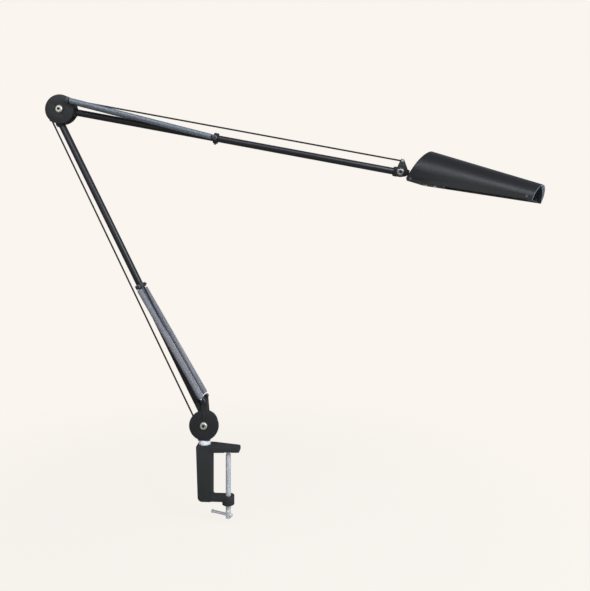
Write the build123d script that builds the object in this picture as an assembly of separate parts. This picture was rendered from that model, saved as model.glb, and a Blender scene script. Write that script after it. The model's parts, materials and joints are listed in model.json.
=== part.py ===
from build123d import *
from math import atan2, cos, degrees, hypot, pi, radians, sin
import os

# A clamp-mounted desk lamp with two spring-balanced arms. Millimetres.
# +X runs from the clamp's throat to its mouth, +Z is up, and both arms swing in the plane Y = 0.
# The origin lies on the clamping face under the upper jaw, where the desk top's surface meets it.

# ---- driving dimensions -------------------------------------------------------------------------

# clamp frame
JAW_DEPTH = 18.0            # front to back
JAW_END_DEPTH = 12.0        # front to back at the tip
JAW_THICKNESS = 10.2        # over the post
JAW_END_THICKNESS = 7.6     # at the tip
JAW_END_CORNER = 2.4
JAW_REACH = 40.5            # from the throat to the tip
JAW_GAP = 64.6              # between the jaws
SPINE_WIDTH = 23.0          # at the top
SPINE_DRAFT = 2.7           # how much narrower it is at the bottom
LOWER_JAW_THICKNESS = 7.0
LOWER_JAW_DEPTH = 15.0
CLAMP_CORNER = 2.6
CLAMP_HEEL = 6.5            # the rounding at the spine's foot
THROAT_FILLET = 3.0
MOUNT_FROM_THROAT = 10.7    # the origin, measured from the throat
TIP_GROOVE_WIDTH = 10.0     # the groove that the screw's point closes into
TIP_GROOVE_DEPTH = 0.5

# clamp screw
SCREW_DIAMETER = 7.6
SCREW_PITCH = 1.25
SCREW_LENGTH = 95.0
SCREW_FROM_THROAT = 23.1
SCREW_BOSS_DIAMETER = 17.8
SCREW_BOSS_HEIGHT = 12.5
TIP_DIAMETER = 5.6
TIP_HEIGHT = 3.0
TIP_STEM_DIAMETER = 3.0
TIP_STEM_LENGTH = 6.0
BAR_DIAMETER = 4.0
BAR_LENGTH = 34.0
BAR_HEAD_DIAMETER = 5.2
BAR_HEAD_LENGTH = 1.6
BAR_FROM_END = 5.0          # the bar's hole above the screw's lower end
BAR_TURN = 158.0            # the bar's direction in plan, degrees
BAR_OFFSET = 11.0           # how far the bar is pushed through at rest

# post and its bushing
POST_DIAMETER = 9.0
POST_LENGTH = 40.0          # inside the bushing
BUSHING_FLANGE_DIAMETER = 17.4
BUSHING_FLANGE_HEIGHT = 7.2
BUSHING_WALL = 1.7

# base bracket
PIVOT_ABOVE_DESK = 39.2     # the lower arm's pivot above the clamping face
DISC_RADIUS = 21.6
PLATE_THICKNESS = 3.8
PLATE_GAP = 10.4            # between the two plates of a joint
BASE_REAR_RADIUS = 17.8
LEVER_HEIGHT = 37.5         # the springs' stud above the pivot
LEVER_TOP_RADIUS = 3.4
LEVER_ROOT_LEFT = 4.1
LEVER_ROOT_RIGHT = 5.1
LEVER_ROOT_HEIGHT = 18.0
LEVER_WEB = 1.6
LEVER_WEB_START = 2.0       # the web's lower end above the lever's root
BRACKET_FLOOR = 5.6         # thickness of the block over the post
RIB_WIDTH = 3.0
RIB_HEIGHT = 1.0

# arms: pivot to pivot, and their lean from +X, counter-clockwise from the front
LOWER_ARM_LENGTH = 512.0
LOWER_ARM_ANGLE = 116.04
UPPER_ARM_LENGTH = 508.0
UPPER_ARM_ANGLE = -10.75
TUBE_DIAMETER = 10.0
TUBE_WALL = 1.2
FOOT_OFFSET = 4.0           # the lower tube's axis beside its base pivot
FOOT_LENGTH = 33.0          # from the base pivot to the tube
FOOT_NECK_HALF = 3.6
SPIGOT_LENGTH = 16.0
EYE_RADIUS = 6.2
FOOT_EYE_RADIUS = 7.0
EYE_THICKNESS = 4.2
CHEEK_HALF_WIDTH = 4.0
SHOULDER_RADIUS = 6.5
SHOULDER_FROM_PIVOT = 20.0
HEAD_TONGUE = 4.4
HEAD_TONGUE_HALF_HEIGHT = 7.0
HEAD_TONGUE_LENGTH = 10.2   # from the upper tube's end to the head pivot
HEAD_TONGUE_CORNER = 2.0

# elbow: the pins in the two discs, measured from the elbow bolt
ELBOW_LOWER_PIN = (-9.4, -2.5)
LOWER_LINK_PIN = (-6.0, -12.1)     # from the lower arm's pivot, at both ends
UPPER_LINK_PIN = (3.13, 16.5)      # from the upper arm's pivot, at both ends
ELBOW_STUD = (14.0, 12.6)
EAR_RADIUS = 2.6

# link rods
LINK_DIAMETER = 2.4
LINK_EYE_RADIUS = 2.9
LINK_EYE_THICKNESS = 2.4

# pins, bolts and studs
BOLT_DIAMETER = 6.0
BOLT_HEAD_RADIUS = 5.4
BOLT_HEAD_HEIGHT = 3.0
SOCKET_ACROSS_FLATS = 4.0
SOCKET_DEPTH = 1.8
NUT_ACROSS_FLATS = 10.0
NUT_HEIGHT = 5.0
ARM_PIN_DIAMETER = 5.0
LINK_PIN_DIAMETER = 2.6
PIN_SEAT = 2.2              # how deep a pin sits in a plate
RUNNING = 0.05              # radial clearance of a pin in its bore
STUD_DIAMETER = 3.4
STUD_HEAD_RADIUS = 3.0
STUD_HEAD_HEIGHT = 1.4

# spring collars
LOWER_COLLAR_FROM_PIVOT = 223.0
UPPER_COLLAR_FROM_PIVOT = 236.0
COLLAR_RADIUS = 7.8
COLLAR_LENGTH = 6.0
COLLAR_SCREW_DIAMETER = 3.0
COLLAR_SCREW_OUT = 1.6

# springs
SPRING_PLANE = 13.4         # from the arms' plane to a spring's axis
SPRING_OUTER_DIAMETER = 8.0
WIRE_DIAMETER = 1.6
SPRING_TURNS = 25
HOOK_GAP = 0.1              # between a hook and its stud
HOOK_RUN = 11.0             # from a stud to the first turn
HOOK_SWEEP = 280.0

# head bracket and knuckle
BRACKET_RADIUS = 6.9
BRACKET_THICKNESS = 3.0
BRACKET_SHOULDER = (7.0, 3.5)
BRACKET_SHOULDER_RADIUS = 3.6
BRACKET_HEEL = (6.5, -2.8)
BRACKET_HEEL_RADIUS = 3.4
BRACKET_TOP_RADIUS = 2.9
PLATE_PLAY = 0.3            # between plates that turn on each other
KNUCKLE_THICKNESS = 3.8
KNUCKLE_RADIUS = 6.0
KNUCKLE_TILT = -10.45         # the stem's lean from +X
STEM_DIAMETER = 4.4
STEM_START = 8.0
STEM_BLOCK_LENGTH = 5.0
STEM_BLOCK_CREST = 3.0      # the block's rise over the stem
SWIVEL_FROM_PIVOT = 26.0
SWIVEL_EYE_RADIUS = 4.5
SWIVEL_EYE_HEIGHT = 4.2
SWIVEL_PIN_DIAMETER = 4.0

# shade, in its own frame: X along it, Z up, the swivel's axis at the origin
SHADE_YAW = -28.5
SHADE_WALL = 0.9
SHADE_BOTTOM = -11.6
SHADE_BACK = -6.0           # lower corner by the knuckle
SHADE_FRONT = 168.5         # lower corner at the far end
SHADE_BACK_SLANT = 66.0     # the ends' cuts, degrees from the shade's axis
SHADE_FRONT_SLANT = 78.0
SHADE_CORNER = 4.0
SHADE_BACK_HALF_WIDTH = 31.0
SHADE_FRONT_HALF_WIDTH = 27.0
SHADE_BACK_CREST = 40.3
SHADE_FRONT_CREST = 12.8
SHADE_BACK_ROUND = 33.4
SHADE_FRONT_ROUND = 21.0

# what the shade holds
TRAY_THICKNESS = 1.0
TRAY_FLANGE = 6.0
TRAY_LIP = 8.0
TRAY_INSET = 3.0            # from the shade's ends
TRAY_LIFT = 0.3             # above the shade's lower edge
TRAY_BACK_PLATE = 42.0
TRAY_FRONT_PLATE = 9.0
RIVET_DIAMETER = 2.4
RIVET_HEAD_RADIUS = 2.1
RIVET_HEAD_HEIGHT = 0.8
RIVET_FROM_BACK = 8.5
RIVET_FROM_FRONT = 7.0
RIVET_ABOVE_EDGE = 3.6
SWIVEL_LEG = 2.0
SWIVEL_LEG_HALF_WIDTH = 5.0
SWIVEL_WEB_FROM_PIN = 7.0
SWIVEL_FOOT_LENGTH = 9.0
HOLDER_LENGTH = 20.0
HOLDER_HALF_WIDTH = 14.0
HOLDER_HEIGHT = 20.0
CAP_LENGTH = 18.0
CAP_HALF_WIDTH = 14.0
CAP_HEIGHT = 14.0
CAP_PLUG = 6.0
LAMP_TUBE_DIAMETER = 12.4
LAMP_TUBE_SPACING = 14.6
LAMP_TUBE_LENGTH = 92.0
LAMP_BRIDGE_DIAMETER = 6.0
LAMP_BRIDGE_FROM_END = 10.0
LAMP_AXIS_ABOVE_TRAY = 11.0
SCREW_HEAD_RADIUS = 2.6
SMALL_SCREW_DIAMETER = 2.6

# ---- derived places -----------------------------------------------------------------------------

THROAT_X = -MOUNT_FROM_THROAT
POST_X = THROAT_X - SPINE_WIDTH / 2
SCREW_X = THROAT_X + SCREW_FROM_THROAT
JAW_TOP = JAW_THICKNESS
BASE_PIVOT = (POST_X, PIVOT_ABOVE_DESK)
PLATE_IN = PLATE_GAP / 2
PLATE_OUT = PLATE_IN + PLATE_THICKNESS
TUBE_RADIUS = TUBE_DIAMETER / 2
WIRE_RADIUS = WIRE_DIAMETER / 2
STUD_RADIUS = STUD_DIAMETER / 2
STUD_END = SPRING_PLANE + WIRE_RADIUS + HOOK_GAP


def turned(point, angle):
    """A side-plane vector (x, z) turned counter-clockwise, seen from the front."""
    a = radians(angle)
    return (point[0] * cos(a) - point[1] * sin(a), point[0] * sin(a) + point[1] * cos(a))


def added(p, q):
    return (p[0] + q[0], p[1] + q[1])


LOWER_END = added(BASE_PIVOT, turned((LOWER_ARM_LENGTH, 0), LOWER_ARM_ANGLE))
ELBOW = (LOWER_END[0] - ELBOW_LOWER_PIN[0], LOWER_END[1] - ELBOW_LOWER_PIN[1])
HEAD_PIVOT = added(ELBOW, turned((UPPER_ARM_LENGTH, 0), UPPER_ARM_ANGLE))
BASE_STUD = added(BASE_PIVOT, (0, LEVER_HEIGHT))
SWIVEL = added(HEAD_PIVOT, turned((SWIVEL_FROM_PIVOT, 0), KNUCKLE_TILT))


# ---- helpers ------------------------------------------------------------------------------------

def pin(point, y0, y1, radius):
    """A round bar along Y through the side-plane point."""
    bar = Cylinder(radius, y1 - y0, rotation=(90, 0, 0))
    return Pos(point[0], (y0 + y1) / 2, point[1]) * bar


def rod(x0, x1, radius):
    """A round bar along X."""
    return Pos((x0 + x1) / 2, 0, 0) * Cylinder(radius, x1 - x0, rotation=(0, 90, 0))


def upright(x, z0, z1, radius):
    """A round bar along Z."""
    return Pos(x, 0, (z0 + z1) / 2) * Cylinder(radius, z1 - z0)


def block(x0, x1, y0, y1, z0, z1):
    return Pos((x0 + x1) / 2, (y0 + y1) / 2, (z0 + z1) / 2) * Box(x1 - x0, y1 - y0, z1 - z0)


def slab(face, y0, y1):
    """A side-plane outline, drawn as (x, z) on the XZ plane, made solid from y0 to y1."""
    return Pos(0, y1, 0) * extrude(face, amount=y1 - y0)


def side_face(edges):
    """A face on the XZ plane, whose normal is -Y, from edges drawn in (x, z)."""
    return Plane.XZ * make_face(edges)


def web(circles):
    """The outline that wraps a set of circles (x, z, radius)."""
    edges = [CenterArc((x, z), r, 0, 360) for x, z, r in circles]
    return Plane.XZ * make_hull(edges)


def in_arm(shape, pivot, angle):
    """A shape drawn along +X from its pivot, set at its place in the lamp."""
    return Pos(pivot[0], 0, pivot[1]) * Rot(0, -angle, 0) * shape


def hexagon(across_flats, point, y0, y1):
    flat = Plane.XZ * RegularPolygon(across_flats / 2, 6, major_radius=False)
    return Pos(point[0], 0, point[1]) * slab(flat, y0, y1)


def mirrored_pair(shape):
    """A fastener at the front and its twin at the back, as two solids."""
    return Compound([shape, mirror(shape, about=Plane.XZ)])


# ---- clamp --------------------------------------------------------------------------------------

def clamp_frame():
    """A cast C with a bushed bore over its spine and a threaded boss under its mouth."""
    left = THROAT_X - SPINE_WIDTH
    heel = left + SPINE_DRAFT
    tip = THROAT_X + JAW_REACH
    low = -JAW_GAP
    bottom = low - LOWER_JAW_THICKNESS
    outline = Polyline(
        (left, JAW_TOP),
        (POST_X + SPINE_WIDTH / 2, JAW_TOP),
        (tip, JAW_END_THICKNESS),
        (tip, 0),
        (THROAT_X, 0),
        (THROAT_X, low),
        (SCREW_X, low),
        (SCREW_X, bottom),
        (heel, bottom),
        close=True,
    )
    body = slab(side_face(outline), -JAW_DEPTH / 2, JAW_DEPTH / 2)
    waste_depth = (JAW_DEPTH - LOWER_JAW_DEPTH) / 2
    for side in (-1, 1):
        face = side * JAW_DEPTH / 2
        y0, y1 = sorted((face, face - side * waste_depth))
        body -= block(THROAT_X, SCREW_X + 1, y0, y1, bottom - 1, low + 1)
    roundings = (
        (CLAMP_CORNER, lambda c: abs(c.X - left) < 0.01),
        (CLAMP_HEEL, lambda c: abs(c.X - heel) < 0.01),
        (JAW_END_CORNER, lambda c: abs(c.X - tip) < 0.01),
        (THROAT_FILLET, lambda c: abs(c.X - THROAT_X) < 0.01 and c.Z < 0.01),
    )
    for radius, chosen in roundings:
        across = body.edges().filter_by(Axis.Y)
        body = fillet([e for e in across if chosen(e.center())], radius)
    half, start = JAW_DEPTH / 2, THROAT_X + THROAT_FILLET + 1
    narrowing = (half - JAW_END_DEPTH / 2) / (tip - start)
    for side in (-1, 1):
        corners = (
            (start, side * half),
            (tip + 1, side * (half - narrowing * (tip + 1 - start))),
            (tip + 1, side * (half + 1)),
            (start, side * (half + 1)),
        )
        wedge = make_face(Polyline(*corners, close=True))
        body -= extrude(Pos(0, 0, -1) * wedge, amount=JAW_TOP + 2, dir=(0, 0, 1))
    half_groove = TIP_GROOVE_WIDTH / 2
    body -= block(SCREW_X - half_groove, SCREW_X + half_groove, -JAW_DEPTH, JAW_DEPTH, -1, TIP_GROOVE_DEPTH)
    body += upright(SCREW_X, low - SCREW_BOSS_HEIGHT, low, SCREW_BOSS_DIAMETER / 2)
    body -= upright(SCREW_X, low - SCREW_BOSS_HEIGHT - 1, low + 1, SCREW_DIAMETER / 2 + 2 * RUNNING)
    bore = POST_DIAMETER / 2 + BUSHING_WALL
    body -= upright(POST_X, JAW_TOP - POST_LENGTH, JAW_TOP + 1, bore)
    return body


def post_bushing():
    """A flanged plastic sleeve that the post turns in."""
    sleeve = upright(POST_X, JAW_TOP - POST_LENGTH, JAW_TOP, POST_DIAMETER / 2 + BUSHING_WALL)
    flange = upright(POST_X, JAW_TOP, JAW_TOP + BUSHING_FLANGE_HEIGHT, BUSHING_FLANGE_DIAMETER / 2)
    whole = sleeve + flange
    bore = POST_DIAMETER / 2 + RUNNING
    bottom = JAW_TOP - POST_LENGTH + BUSHING_WALL
    return whole - upright(POST_X, bottom, JAW_TOP + BUSHING_FLANGE_HEIGHT + 1, bore)


def clamp_tip():
    """The captive point that presses on the desk and doesn't turn with the screw, closed on its groove."""
    head = upright(SCREW_X, -TIP_HEIGHT, TIP_GROOVE_DEPTH, TIP_DIAMETER / 2)
    return head + upright(SCREW_X, -TIP_HEIGHT - TIP_STEM_LENGTH, -TIP_HEIGHT, TIP_STEM_DIAMETER / 2)


def bar_frame():
    """Where the bar crosses the screw, with X along the bar."""
    z = -TIP_HEIGHT - SCREW_LENGTH + BAR_FROM_END
    return Pos(SCREW_X, 0, z) * Rot(0, 0, BAR_TURN)


def clamp_screw():
    top = -TIP_HEIGHT
    spindle = upright(SCREW_X, top - SCREW_LENGTH, top, SCREW_DIAMETER / 2)
    lower_edge = spindle.edges().sort_by(Axis.Z)[0]
    spindle = chamfer(lower_edge, 0.8)
    spindle -= upright(SCREW_X, top - TIP_STEM_LENGTH - 0.3, top + 1, TIP_STEM_DIAMETER / 2 + RUNNING)
    hole = rod(-SCREW_DIAMETER, SCREW_DIAMETER, BAR_DIAMETER / 2 + RUNNING)
    return spindle - bar_frame() * hole


def tommy_bar():
    half = BAR_LENGTH / 2
    bar = rod(-half, half, BAR_DIAMETER / 2)
    bar += rod(-half, -half + BAR_HEAD_LENGTH, BAR_HEAD_DIAMETER / 2)
    bar += rod(half - BAR_HEAD_LENGTH, half, BAR_HEAD_DIAMETER / 2)
    return bar_frame() * Pos(BAR_OFFSET, 0, 0) * bar


# ---- base bracket -------------------------------------------------------------------------------

def lever_face():
    """The spring lever's outline, from inside the disc to round the stud."""
    x, z = BASE_PIVOT
    root = z + LEVER_ROOT_HEIGHT
    corners = Polyline(
        (x - LEVER_ROOT_LEFT, z),
        (x - LEVER_ROOT_LEFT, root),
        (x - LEVER_TOP_RADIUS, z + LEVER_HEIGHT),
        (x + LEVER_TOP_RADIUS, z + LEVER_HEIGHT),
        (x + LEVER_ROOT_RIGHT, root),
        (x + LEVER_ROOT_RIGHT, z),
        close=True,
    )
    return side_face(corners)


def base_cheek(radius):
    """One plate of the base bracket, lying from y = 0 to its thickness."""
    x, z = BASE_PIVOT
    plate = pin(BASE_PIVOT, 0, PLATE_THICKNESS, radius)
    plate += slab(lever_face(), 0, PLATE_THICKNESS)
    return plate + pin(BASE_STUD, 0, PLATE_THICKNESS, LEVER_TOP_RADIUS)


def lever_back():
    """The web that ties the two levers on the side away from the arm."""
    x, z = BASE_PIVOT
    root = z + LEVER_ROOT_HEIGHT
    start = root + LEVER_WEB_START
    share = LEVER_WEB_START / (LEVER_HEIGHT - LEVER_ROOT_HEIGHT)
    outer = x + LEVER_ROOT_RIGHT + (LEVER_TOP_RADIUS - LEVER_ROOT_RIGHT) * share
    outline = Polyline(
        (outer - LEVER_WEB, start),
        (outer, start),
        (x + LEVER_TOP_RADIUS, z + LEVER_HEIGHT),
        (x + LEVER_TOP_RADIUS - LEVER_WEB, z + LEVER_HEIGHT),
        close=True,
    )
    return slab(side_face(outline), -PLATE_OUT, PLATE_OUT)


def base_bracket():
    """Disc, spring levers and post in one casting, forked for the lower arm."""
    x, z = BASE_PIVOT
    seat = JAW_TOP + BUSHING_FLANGE_HEIGHT
    front = Pos(0, -PLATE_OUT, 0) * base_cheek(DISC_RADIUS)
    rear = Pos(0, PLATE_IN, 0) * base_cheek(BASE_REAR_RADIUS)
    floor_half = BUSHING_FLANGE_DIAMETER / 2
    floor = block(x - floor_half, x + floor_half, -PLATE_OUT, PLATE_OUT, seat, seat + BRACKET_FLOOR)
    whole = front + rear + lever_back() + floor
    whole += upright(x, seat - BUSHING_FLANGE_HEIGHT - POST_LENGTH + BUSHING_WALL + 1, seat, POST_DIAMETER / 2)
    rib_low = z + BOLT_HEAD_RADIUS + 1
    rib_high = z + LEVER_ROOT_HEIGHT
    whole += block(x - RIB_WIDTH / 2, x + RIB_WIDTH / 2, -PLATE_OUT - RIB_HEIGHT, -PLATE_OUT, rib_low, rib_high)
    whole -= pin(BASE_PIVOT, -PLATE_OUT - 1, PLATE_OUT + 1, BOLT_DIAMETER / 2)
    whole -= pin(BASE_STUD, -PLATE_OUT - 1, PLATE_OUT + 1, STUD_RADIUS)
    link = added(BASE_PIVOT, LOWER_LINK_PIN)
    seat_depth = PLATE_IN + PIN_SEAT
    return whole - pin(link, -seat_depth, seat_depth, LINK_PIN_DIAMETER / 2)


def pivot_bolt(point, front, back):
    """A socket-head bolt along Y, from its head at the front to its nut at the back."""
    shank = pin(point, front, back + NUT_HEIGHT + 1, BOLT_DIAMETER / 2)
    head = pin(point, front - BOLT_HEAD_HEIGHT, front, BOLT_HEAD_RADIUS)
    rim = head.edges().sort_by(Axis.Y)[0]
    head = fillet(rim, BOLT_HEAD_HEIGHT * 0.6)
    whole = shank + head
    outer = front - BOLT_HEAD_HEIGHT
    return whole - hexagon(SOCKET_ACROSS_FLATS, point, outer - 1, outer + SOCKET_DEPTH)


def pivot_nut(point, back):
    nut = hexagon(NUT_ACROSS_FLATS, point, back, back + NUT_HEIGHT)
    return nut - pin(point, back - 1, back + NUT_HEIGHT + 1, BOLT_DIAMETER / 2)


def spring_stud(point, root):
    """A headed stud that a spring hooks on, from its root out to its head."""
    shank = pin(point, -STUD_END, -root, STUD_RADIUS)
    return shank + pin(point, -STUD_END - STUD_HEAD_HEIGHT, -STUD_END, STUD_HEAD_RADIUS)


# ---- lower arm, drawn along +X from the base pivot ----------------------------------------------

FOOT_SLANT = degrees(atan2(FOOT_OFFSET, LOWER_ARM_LENGTH - SHOULDER_FROM_PIVOT))


def on_lower_tube(shape):
    """From the lower tube's own frame, which starts beside the base pivot, to the arm's."""
    return Pos(0, 0, -FOOT_OFFSET) * Rot(0, -FOOT_SLANT, 0) * shape


def lower_tube_end():
    return LOWER_ARM_LENGTH - SHOULDER_FROM_PIVOT - SHOULDER_RADIUS * 0.5


def arm_tube(x0, x1):
    return rod(x0, x1, TUBE_RADIUS) - rod(x0 - 1, x1 + 1, TUBE_RADIUS - TUBE_WALL)


def lower_arm_tube():
    return on_lower_tube(arm_tube(FOOT_LENGTH, lower_tube_end()))


def lower_arm_foot():
    """The eye at the lower tube's base end."""
    half = PLATE_IN - PLATE_PLAY
    eye = pin((0, 0), -half, half, FOOT_EYE_RADIUS)
    knee = FOOT_LENGTH / 3
    neck = slab(web([(0, 0, FOOT_NECK_HALF), (knee, -FOOT_OFFSET * 0.6, FOOT_NECK_HALF)]), -half, half)
    neck += on_lower_tube(slab(web([(knee, 0, FOOT_NECK_HALF), (FOOT_LENGTH, 0, FOOT_NECK_HALF)]), -half, half))
    neck -= on_lower_tube(rod(FOOT_LENGTH, FOOT_LENGTH + SPIGOT_LENGTH, 2 * TUBE_RADIUS))
    spigot = rod(FOOT_LENGTH - 1, FOOT_LENGTH + SPIGOT_LENGTH, TUBE_RADIUS - TUBE_WALL)
    whole = eye + neck + on_lower_tube(spigot)
    return whole - pin((0, 0), -half - 1, half + 1, BOLT_DIAMETER / 2 + RUNNING)


def elbow_fitting(pivot_x, shoulder_x, front, back, spigot, tube_seat, bore):
    """An eye beside the arm's plane, a shoulder across it, and a spigot in the tube."""
    half = PLATE_IN - PLATE_PLAY
    x0, x1 = sorted((pivot_x, shoulder_x))
    cheek = block(x0, x1, front, back, -CHEEK_HALF_WIDTH, CHEEK_HALF_WIDTH)
    cheek += pin((pivot_x, 0), front, back, EYE_RADIUS)
    shoulder = pin((shoulder_x, 0), -half, half, SHOULDER_RADIUS)
    whole = cheek + shoulder - tube_seat + spigot
    return whole - pin((pivot_x, 0), -half - 1, half + 1, bore)


def lower_arm_head():
    """The cheek and shoulder at the lower tube's elbow end."""
    half = PLATE_IN - PLATE_PLAY
    end = lower_tube_end()
    shoulder = LOWER_ARM_LENGTH - SHOULDER_FROM_PIVOT
    spigot = on_lower_tube(rod(end - SPIGOT_LENGTH, shoulder, TUBE_RADIUS - TUBE_WALL))
    seat = on_lower_tube(rod(end - SPIGOT_LENGTH, end, TUBE_RADIUS + 2))
    bore = ARM_PIN_DIAMETER / 2 + RUNNING
    front = -half
    return elbow_fitting(LOWER_ARM_LENGTH, shoulder, front, front + EYE_THICKNESS, spigot, seat, bore)


def spring_collar():
    """The ring clamped on a tube, drawn at x = 0."""
    half = COLLAR_LENGTH / 2
    ring = rod(-half, half, COLLAR_RADIUS) - rod(-half - 1, half + 1, TUBE_RADIUS)
    hole = COLLAR_SCREW_DIAMETER / 2
    ring -= upright(0, -COLLAR_RADIUS - 1, 0, hole)
    return ring - pin((0, 0), -COLLAR_RADIUS - 1, COLLAR_RADIUS + 1, STUD_RADIUS)


def collar_screw():
    """The set screw under a collar."""
    return upright(0, -COLLAR_RADIUS - COLLAR_SCREW_OUT, -TUBE_RADIUS, COLLAR_SCREW_DIAMETER / 2)


def collar_studs():
    return mirrored_pair(spring_stud((0, 0), TUBE_RADIUS + 0.1))


# ---- link rods ----------------------------------------------------------------------------------

def link_rod(length):
    """A thin rod with an eye at each end, drawn along +X from its first pin."""
    half = LINK_EYE_THICKNESS / 2
    bar = rod(0, length, LINK_DIAMETER / 2)
    for x in (0, length):
        bar += pin((x, 0), -half, half, LINK_EYE_RADIUS)
    for x in (0, length):
        bar -= pin((x, 0), -half - 1, half + 1, LINK_PIN_DIAMETER / 2 + RUNNING)
    return bar


# ---- elbow --------------------------------------------------------------------------------------

def elbow_pins():
    """The hidden pins: the lower arm's, the lower link's on the rear disc alone, and the upper link's."""
    reach = PLATE_IN + PIN_SEAT
    lower = pin(LOWER_END, -reach, reach, ARM_PIN_DIAMETER / 2)
    ear = added(LOWER_END, LOWER_LINK_PIN)
    front = -LINK_EYE_THICKNESS / 2 - PLATE_PLAY
    lower_link = pin(ear, front - 1, reach, LINK_PIN_DIAMETER / 2)
    lower_link += pin(ear, front - 1, front, LINK_PIN_DIAMETER / 2 + 0.7)
    upper_link = pin(added(ELBOW, UPPER_LINK_PIN), -reach, reach, LINK_PIN_DIAMETER / 2)
    return [lower, lower_link, upper_link]


def elbow_disc(side):
    """The plate at the front (side -1) or the back (side 1) of the elbow."""
    y0, y1 = sorted((side * PLATE_IN, side * PLATE_OUT))
    disc = pin(ELBOW, y0, y1, DISC_RADIUS)
    if side > 0:
        disc += pin(added(LOWER_END, LOWER_LINK_PIN), y0, y1, EAR_RADIUS)
    disc -= pin(ELBOW, y0 - 1, y1 + 1, BOLT_DIAMETER / 2)
    disc -= pin(added(ELBOW, ELBOW_STUD), y0 - 1, y1 + 1, STUD_RADIUS)
    for hidden_pin in elbow_pins():
        disc -= hidden_pin
    return disc


# ---- upper arm, drawn along +X from the elbow bolt ----------------------------------------------

UPPER_TUBE_START = SHOULDER_FROM_PIVOT + SHOULDER_RADIUS * 0.5
UPPER_TUBE_END = UPPER_ARM_LENGTH - HEAD_TONGUE_LENGTH


def upper_arm_tube():
    return arm_tube(UPPER_TUBE_START, UPPER_TUBE_END)


def upper_arm_foot():
    """The cheek and shoulder at the upper tube's elbow end."""
    half = PLATE_IN - PLATE_PLAY
    start = UPPER_TUBE_START
    spigot = rod(SHOULDER_FROM_PIVOT, start + SPIGOT_LENGTH, TUBE_RADIUS - TUBE_WALL)
    seat = rod(start, start + SPIGOT_LENGTH, TUBE_RADIUS + 2)
    bore = BOLT_DIAMETER / 2 + RUNNING
    return elbow_fitting(0, SHOULDER_FROM_PIVOT, half - EYE_THICKNESS, half, spigot, seat, bore)


def upper_arm_head():
    """The tall tongue at the head end, with its spigot in the tube."""
    half = HEAD_TONGUE / 2
    end = UPPER_ARM_LENGTH
    r = HEAD_TONGUE_CORNER
    high = HEAD_TONGUE_HALF_HEIGHT - r
    near, far = UPPER_TUBE_END + r, end - HEAD_TONGUE_LENGTH / 2
    tongue = slab(
        web([(near, high, r), (near, -high, r), (far, high, r), (far, -high, r), (end, 0, EYE_RADIUS)]), -half, half
    )
    whole = tongue + rod(UPPER_TUBE_END - SPIGOT_LENGTH, UPPER_TUBE_END + 0.5, TUBE_RADIUS - TUBE_WALL)
    return whole - pin((end, 0), -half - 1, half + 1, BOLT_DIAMETER / 2 + RUNNING)


# ---- springs ------------------------------------------------------------------------------------

def biarc(start, start_way, end, end_way):
    """Two arcs in one smooth run between two points with their directions."""
    chord = end - start
    ways = start_way + end_way
    across = 2 * (1 - start_way.dot(end_way))
    along = chord.dot(ways)
    if across < 1e-9:
        reach = chord.dot(chord) / (4 * chord.dot(end_way))
    else:
        reach = (-along + (along ** 2 + across * chord.dot(chord)) ** 0.5) / across
    middle = (start + start_way * reach + end - end_way * reach) / 2
    middle_way = (end - end_way * reach - start - start_way * reach).normalized()
    return [TangentArc(start, middle, tangent=start_way), TangentArc(middle, end, tangent=middle_way)]


def spring_path(length, hand):
    """One wire along +X: a hook round the first stud, the turns, and a hook round the second."""
    coil = SPRING_OUTER_DIAMETER / 2 - WIRE_RADIUS
    hook = STUD_RADIUS + HOOK_GAP + WIRE_RADIUS
    pitch = (length - 2 * HOOK_RUN) / SPRING_TURNS

    def on_coil(half_turns):
        a = half_turns * pi
        x = HOOK_RUN + pitch * half_turns / 2
        place = Vector(x, hand * coil * sin(a), coil * cos(a))
        way = Vector(pitch / (2 * pi), hand * coil * cos(a), -coil * sin(a)).normalized()
        return place, way

    def on_hook(centre, angle):
        a = radians(angle)
        return Vector(centre + hook * cos(a), 0, hook * sin(a))

    along = Vector(1, 0, 0)
    edges = []
    half_sweep = HOOK_SWEEP / 2
    for first, last in ((90 + HOOK_SWEEP, 90 + half_sweep), (90 + half_sweep, 90)):
        mid = (first + last) / 2
        edges.append(ThreePointArc(on_hook(0, first), on_hook(0, mid), on_hook(0, last)))
    edges += biarc(on_hook(0, 90), along, *on_coil(0))
    for k in range(2 * SPRING_TURNS):
        edges += biarc(*on_coil(k), *on_coil(k + 1))
    edges += biarc(*on_coil(2 * SPRING_TURNS), on_hook(length, 90), along)
    for first, last in ((90, 90 - half_sweep), (90 - half_sweep, 90 - HOOK_SWEEP)):
        mid = (first + last) / 2
        edges.append(ThreePointArc(on_hook(length, first), on_hook(length, mid), on_hook(length, last)))
    return Wire(edges)


def least_gap(path):
    """The least gap from the wire to itself, on points a fifth of a turn apart."""
    steps = 20 * SPRING_TURNS
    points = [path @ (k / steps) for k in range(steps + 1)]
    step = path.length / steps
    apart = int(3 * WIRE_DIAMETER / step) + 1
    least = min(
        (points[j] - points[i]).length
        for i in range(len(points))
        for j in range(i + apart, min(i + apart + 3 * 20, len(points)))
    )
    return least - WIRE_DIAMETER


def spring(first, second, side):
    """A spring between two side-plane points, in front of the arms (-1) or behind them (1)."""
    dx, dz = second[0] - first[0], second[1] - first[1]
    path = spring_path(hypot(dx, dz), side)
    section = Plane(origin=path @ 0, z_dir=path % 0) * Circle(WIRE_RADIUS)
    tube = sweep(section, path=path)
    print("spring", "gap to itself", round(least_gap(path), 2), "volume", round(tube.volume, 1),
          "section times length", round(pi * WIRE_RADIUS ** 2 * path.length, 1))
    lean = degrees(atan2(dz, dx))
    return Pos(first[0], side * SPRING_PLANE, first[1]) * Rot(0, -lean, 0) * tube


# ---- head ---------------------------------------------------------------------------------------

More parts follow.
